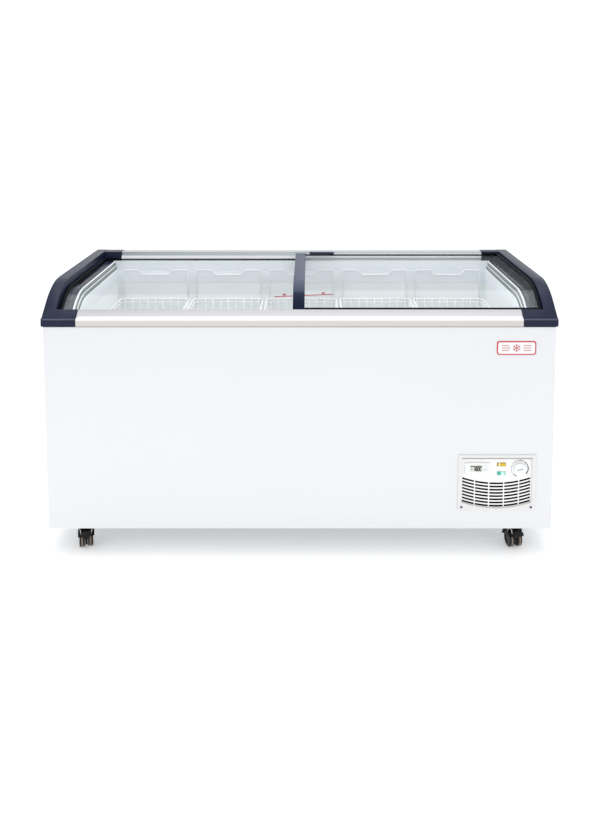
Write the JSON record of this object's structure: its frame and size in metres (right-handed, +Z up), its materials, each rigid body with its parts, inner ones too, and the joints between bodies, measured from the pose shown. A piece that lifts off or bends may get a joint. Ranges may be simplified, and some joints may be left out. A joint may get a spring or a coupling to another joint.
{
  "type": "display chest freezer",
  "caption": "White chest freezer with dark end caps, curved glass lids that slide over each other, hanging wire baskets, a front grille with controls, and casters.",
  "frame": {"origin": "centre of the footprint on the floor, under the middle of the cabinet", "axes": "+X along the cabinet's long front towards its right end, +Y from the customer's side to the back, +Z up"},
  "size_m": [1.68, 0.7035, 0.8993],
  "materials": {
    "white_paint": "smooth white powder coat",
    "liner_sheet": "satin white coated sheet",
    "white_plastic": "satin",
    "slate_plastic": "fine grain",
    "rail_aluminium": "pale satin coating",
    "rubber_seal": "matt",
    "foam": "rigid polyurethane foam, cut face",
    "galvanised": "galvanised",
    "copper_tube": "drawn copper",
    "aluminium_fins": "bare",
    "black_steel": "black enamel",
    "black_plastic": "moulded",
    "wheel_tread": "smooth",
    "basket_wire": "plastic coated wire",
    "lid_glass": "clear tempered glass",
    "red_print": "printed film",
    "badge_face": "enamelled badge",
    "amber_lens": "translucent",
    "green_lens": "translucent",
    "display_glass": "grey liquid crystal window",
    "blue_screw": "blued"
  },
  "bodies": {
    "cabinet": {"outer_shell": "white_paint", "back_panel": "white_paint", "inner_liner": "liner_sheet", "breaker_frame": "white_plastic", "drain_plug": "white_plastic", "grille_panel": "white_plastic", "display_case": "white_plastic", "left_end_cap": "slate_plastic", "right_end_cap": "slate_plastic", "front_rail": "rail_aluminium", "rear_rail": "rail_aluminium", "left_end_gasket": "rubber_seal", "right_end_gasket": "rubber_seal", "foam_insulation": "foam", "base_plate": "galvanised", "bay_lining": "galvanised", "compressor_tray": "galvanised", "evaporator_coil": "copper_tube", "filter_drier": "copper_tube", "condenser": "aluminium_fins", "compressor": "black_steel", "front_left_caster_plate": "black_steel", "front_right_caster_plate": "black_steel", "rear_left_caster_plate": "black_steel", "rear_right_caster_plate": "black_steel", "thermostat_body": "black_plastic", "fan_motor_and_shroud": "black_plastic", "cord_gland": "black_plastic", "load_line_label": "red_print", "badge_plate": "badge_face", "power_lamp": "green_lens", "display_window": "display_glass", "grille_screw_left": "blue_screw", "grille_screw_right": "blue_screw"},
    "left_lid": {"left_lid_glass": "lid_glass", "left_lid_frame": "rubber_seal"},
    "right_lid": {"right_lid_glass": "lid_glass", "right_lid_frame": "rubber_seal", "right_lid_meeting_strip": "slate_plastic", "right_lid_grip": "black_plastic"},
    "thermostat_knob": {"thermostat_knob": "white_plastic"},
    "rocker_switch": {"rocker_switch": "amber_lens"},
    "display_button_upper": {"display_button_upper": "white_plastic"},
    "display_button_lower": {"display_button_lower": "white_plastic"},
    "fan_blade": {"fan_blade": "black_plastic"},
    "basket_1": {"basket_1": "basket_wire"},
    "basket_2": {"basket_2": "basket_wire"},
    "basket_3": {"basket_3": "basket_wire"},
    "basket_4": {"basket_4": "basket_wire"},
    "basket_5": {"basket_5": "basket_wire"},
    "front_left_swivel": {"front_left_caster_fork": "black_plastic"},
    "front_left_wheels": {"front_left_caster_wheels": "wheel_tread"},
    "front_left_brake": {"front_left_brake_pedal": "black_plastic"},
    "front_right_swivel": {"front_right_caster_fork": "black_plastic"},
    "front_right_wheels": {"front_right_caster_wheels": "wheel_tread"},
    "front_right_brake": {"front_right_brake_pedal": "black_plastic"},
    "rear_left_swivel": {"rear_left_caster_fork": "black_plastic"},
    "rear_left_wheels": {"rear_left_caster_wheels": "wheel_tread"},
    "rear_right_swivel": {"rear_right_caster_fork": "black_plastic"},
    "rear_right_wheels": {"rear_right_caster_wheels": "wheel_tread"}
  },
  "joints": [
    {"name": "left_lid_slide", "type": "slide", "parent": "cabinet", "child": "left_lid", "axis": [1, 0, 0], "range_m": [0, 0.755]},
    {"name": "right_lid_slide", "type": "slide", "parent": "cabinet", "child": "right_lid", "axis": [1, 0, 0], "range_m": [-0.755, 0]},
    {"name": "thermostat_knob_turn", "type": "hinge", "parent": "cabinet", "child": "thermostat_knob", "pos_m": [0.7277, -0.3459, 0.2898], "axis": [0, -1, 0], "range_deg": [-240, 30]},
    {"name": "rocker_switch_tilt", "type": "hinge", "parent": "cabinet", "child": "rocker_switch", "pos_m": [0.66675, -0.34, 0.3038], "axis": [0, 0, 1], "range_deg": [0, 9]},
    {"name": "display_button_upper_press", "type": "slide", "parent": "cabinet", "child": "display_button_upper", "axis": [0, 1, 0], "range_m": [0, 0.0004], "stiffness_N_per_m": 400},
    {"name": "display_button_lower_press", "type": "slide", "parent": "cabinet", "child": "display_button_lower", "axis": [0, 1, 0], "range_m": [0, 0.0004], "stiffness_N_per_m": 400},
    {"name": "fan_spin", "type": "hinge", "parent": "cabinet", "child": "fan_blade", "pos_m": [0.66, -0.215, 0.198], "axis": [0, 1, 0], "continuous": true},
    {"name": "basket_1_lift", "type": "slide", "parent": "cabinet", "child": "basket_1", "axis": [0, 0, 1], "range_m": [0, 0.008]},
    {"name": "basket_2_lift", "type": "slide", "parent": "cabinet", "child": "basket_2", "axis": [0, 0, 1], "range_m": [0, 0.008]},
    {"name": "basket_3_lift", "type": "slide", "parent": "cabinet", "child": "basket_3", "axis": [0, 0, 1], "range_m": [0, 0.008]},
    {"name": "basket_4_lift", "type": "slide", "parent": "cabinet", "child": "basket_4", "axis": [0, 0, 1], "range_m": [0, 0.008]},
    {"name": "basket_5_lift", "type": "slide", "parent": "cabinet", "child": "basket_5", "axis": [0, 0, 1], "range_m": [0, 0.008]},
    {"name": "front_left_caster_swivel", "type": "hinge", "parent": "cabinet", "child": "front_left_swivel", "pos_m": [-0.73, -0.279, 0.072], "axis": [0, 0, 1], "continuous": true},
    {"name": "front_left_wheels_roll", "type": "hinge", "parent": "front_left_swivel", "child": "front_left_wheels", "pos_m": [-0.72449, -0.29823, 0.027], "axis": [-0.9613, -0.2756, 0], "continuous": true},
    {"name": "front_left_brake_press", "type": "hinge", "parent": "front_left_swivel", "child": "front_left_brake", "pos_m": [-0.71622, -0.32706, 0.049], "axis": [0.9613, 0.2756, 0], "range_deg": [0, 10]},
    {"name": "front_right_caster_swivel", "type": "hinge", "parent": "cabinet", "child": "front_right_swivel", "pos_m": [0.719, -0.279, 0.072], "axis": [0, 0, 1], "continuous": true},
    {"name": "front_right_wheels_roll", "type": "hinge", "parent": "front_right_swivel", "child": "front_right_wheels", "pos_m": [0.72247, -0.2987, 0.027], "axis": [-0.9848, -0.1736, 0], "continuous": true},
    {"name": "front_right_brake_press", "type": "hinge", "parent": "front_right_swivel", "child": "front_right_brake", "pos_m": [0.72768, -0.32824, 0.049], "axis": [0.9848, 0.1736, 0], "range_deg": [0, 10]},
    {"name": "rear_left_caster_swivel", "type": "hinge", "parent": "cabinet", "child": "rear_left_swivel", "pos_m": [-0.724, 0.279, 0.072], "axis": [0, 0, 1], "continuous": true},
    {"name": "rear_left_wheels_roll", "type": "hinge", "parent": "rear_left_swivel", "child": "rear_left_wheels", "pos_m": [-0.73084, 0.29779, 0.027], "axis": [0.9397, 0.342, 0], "continuous": true},
    {"name": "rear_right_caster_swivel", "type": "hinge", "parent": "cabinet", "child": "rear_right_swivel", "pos_m": [0.724, 0.279, 0.072], "axis": [0, 0, 1], "continuous": true},
    {"name": "rear_right_wheels_roll", "type": "hinge", "parent": "rear_right_swivel", "child": "rear_right_wheels", "pos_m": [0.72918, 0.29832, 0.027], "axis": [0.9659, -0.2588, 0], "continuous": true}
  ]
}
